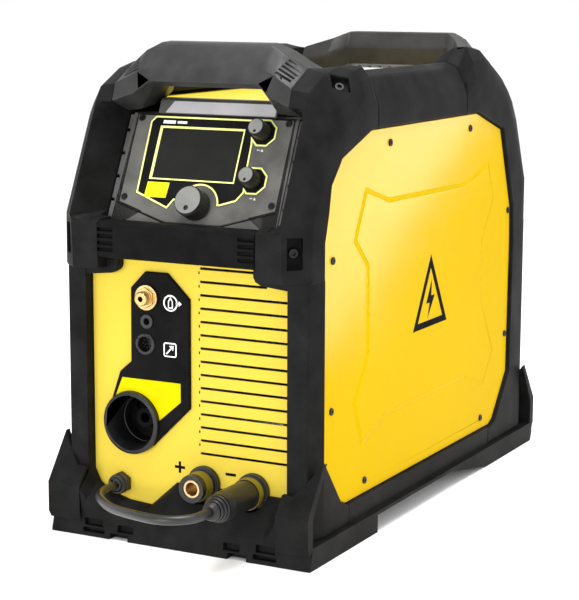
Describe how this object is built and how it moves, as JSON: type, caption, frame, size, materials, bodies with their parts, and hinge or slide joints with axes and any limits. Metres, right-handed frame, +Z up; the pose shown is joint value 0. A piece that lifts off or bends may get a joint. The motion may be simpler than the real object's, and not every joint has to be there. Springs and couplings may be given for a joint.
{
  "type": "welding power source",
  "caption": "Portable multi-process welding power source: yellow case in a black frame with handles, leaning console, front connections, wire feeder bay and rear fan.",
  "frame": {"origin": "on the floor under the centre of the machine", "axes": "+Z up, -Y is the front with the console and connections, +X is the right hand side seen from the front"},
  "size_m": [0.292, 0.6889, 0.487],
  "materials": {
    "frame_plastic": "charcoal moulded plastic with a fine leather grain",
    "grip_plastic": "smoother charcoal plastic of the grips",
    "yellow_paint": "glossy yellow powder coat on sheet steel",
    "inner_steel": "pale grey paint on the inner sheets",
    "housing_plastic": "dark grey plastic",
    "bezel_plastic": "grey plastic with a fine spark grain",
    "overlay_film": "black printed film with pale yellow outlines",
    "lens": "dark tinted display window",
    "knob_plastic": "dark grey knob plastic",
    "socket_plastic": "black connector plastic",
    "boot_rubber": "ribbed black rubber",
    "cable_jacket": "smooth dark rubber jacket",
    "brass": "machined brass",
    "steel": "zinc plated steel",
    "cast_alloy": "extruded and cast aluminium",
    "circuit_board": "green circuit board with its components",
    "core_steel": "varnished core laminations and winding",
    "spool_plastic": "black spool with copper coloured wire"
  },
  "bodies": {
    "machine": {"base_tray": "frame_plastic", "bezel_screws": "steel", "cable_gland": "socket_plastic", "case_screws": "steel", "centre_bulkhead": "inner_steel", "chassis_floor": "inner_steel", "connector_plate": "housing_plastic", "control_bezel": "bezel_plastic", "control_housing": "housing_plastic", "control_overlay": "overlay_film", "display_lens": "lens", "door_hinges": "steel", "fan_frame": "socket_plastic", "fan_guard": "steel", "feed_unit": "cast_alloy", "front_mid_handle": "grip_plastic", "front_panel": "yellow_paint", "front_post_left": "frame_plastic", "front_post_right": "frame_plastic", "front_top_handle": "grip_plastic", "gas_inlet": "brass", "gas_outlet": "brass", "gun_socket_core": "brass", "gun_socket_housing": "socket_plastic", "heat_sink": "cast_alloy", "mains_gland": "socket_plastic", "output_terminals": "socket_plastic", "plug_boot": "boot_rubber", "polarity_cable": "cable_jacket", "polarity_plug": "socket_plastic", "power_board": "circuit_board", "rear_mid_handle": "grip_plastic", "rear_panel": "yellow_paint", "rear_post_left": "frame_plastic", "rear_post_right": "frame_plastic", "rear_top_handle": "grip_plastic", "remote_socket": "socket_plastic", "side_panel_right": "yellow_paint", "spool_spindle": "steel", "terminal_contacts": "brass", "top_cover": "yellow_paint", "top_rail_left": "frame_plastic", "top_rail_right": "frame_plastic", "transformer": "core_steel", "usb_socket": "socket_plastic"},
    "door": {"spool_door": "yellow_paint"},
    "upper_latch_body": {"upper_latch": "knob_plastic"},
    "lower_latch_body": {"lower_latch": "knob_plastic"},
    "main_spindle": {"main_knob_spindle": "steel"},
    "main_dial": {"main_knob": "knob_plastic"},
    "upper_dial": {"upper_knob": "knob_plastic"},
    "lower_dial": {"lower_knob": "knob_plastic"},
    "fan": {"fan_rotor": "socket_plastic"},
    "switch_handle": {"mains_switch": "knob_plastic"},
    "spool": {"spool_hub": "socket_plastic", "wire_spool": "spool_plastic"},
    "drive_wheel": {"drive_roll": "steel"},
    "arm": {"pressure_arm": "cast_alloy"},
    "pressure_wheel": {"pressure_roll": "steel"},
    "tension_screw": {"tension_knob": "knob_plastic"}
  },
  "joints": [
    {"name": "door_hinge", "type": "hinge", "parent": "machine", "child": "door", "pos_m": [-0.137, 0.226, 0.2], "axis": [0, 0, -1], "range_deg": [0, 120]},
    {"name": "upper_latch_turn", "type": "hinge", "parent": "door", "child": "upper_latch_body", "pos_m": [-0.138, -0.226, 0.285], "axis": [-1, 0, 0], "range_deg": [0, 90]},
    {"name": "lower_latch_turn", "type": "hinge", "parent": "door", "child": "lower_latch_body", "pos_m": [-0.138, -0.226, 0.141], "axis": [-1, 0, 0], "range_deg": [0, 90]},
    {"name": "main_knob_push", "type": "slide", "parent": "machine", "child": "main_spindle", "axis": [0, 0.9074, -0.4204], "range_m": [0, 0.0015], "stiffness_N_per_m": 800},
    {"name": "main_knob_turn", "type": "hinge", "parent": "main_spindle", "child": "main_dial", "pos_m": [0.002, -0.25213, 0.33172], "axis": [0, -0.9074, 0.4204], "continuous": true},
    {"name": "upper_knob_turn", "type": "hinge", "parent": "machine", "child": "upper_dial", "pos_m": [0.057, -0.21955, 0.40203], "axis": [0, -0.9074, 0.4204], "continuous": true},
    {"name": "lower_knob_turn", "type": "hinge", "parent": "machine", "child": "lower_dial", "pos_m": [0.0575, -0.23994, 0.35803], "axis": [0, -0.9074, 0.4204], "continuous": true},
    {"name": "fan_spin", "type": "hinge", "parent": "machine", "child": "fan", "pos_m": [0.038, 0.24, 0.185], "axis": [0, 1, 0], "continuous": true},
    {"name": "mains_switch_turn", "type": "hinge", "parent": "machine", "child": "switch_handle", "pos_m": [-0.066, 0.27, 0.215], "axis": [0, 1, 0], "range_deg": [0, 90]},
    {"name": "spool_spin", "type": "hinge", "parent": "machine", "child": "spool", "pos_m": [-0.07, 0.06, 0.215], "axis": [1, 0, 0], "continuous": true},
    {"name": "drive_roll_spin", "type": "hinge", "parent": "machine", "child": "drive_wheel", "pos_m": [-0.065, -0.146, 0.0985], "axis": [1, 0, 0], "continuous": true},
    {"name": "pressure_arm_lift", "type": "hinge", "parent": "machine", "child": "arm", "pos_m": [-0.049, -0.184, 0.136], "axis": [1, 0, 0], "range_deg": [0, 60]},
    {"name": "pressure_roll_spin", "type": "hinge", "parent": "arm", "child": "pressure_wheel", "pos_m": [-0.065, -0.146, 0.1265], "axis": [1, 0, 0], "continuous": true},
    {"name": "tension_turn", "type": "hinge", "parent": "arm", "child": "tension_screw", "pos_m": [-0.049, -0.122, 0.15], "axis": [0, 0, 1], "continuous": true}
  ],
  "couplings": [
    {"joint": "pressure_roll_spin", "follows": "drive_roll_spin", "ratio": -1.4545}
  ]
}
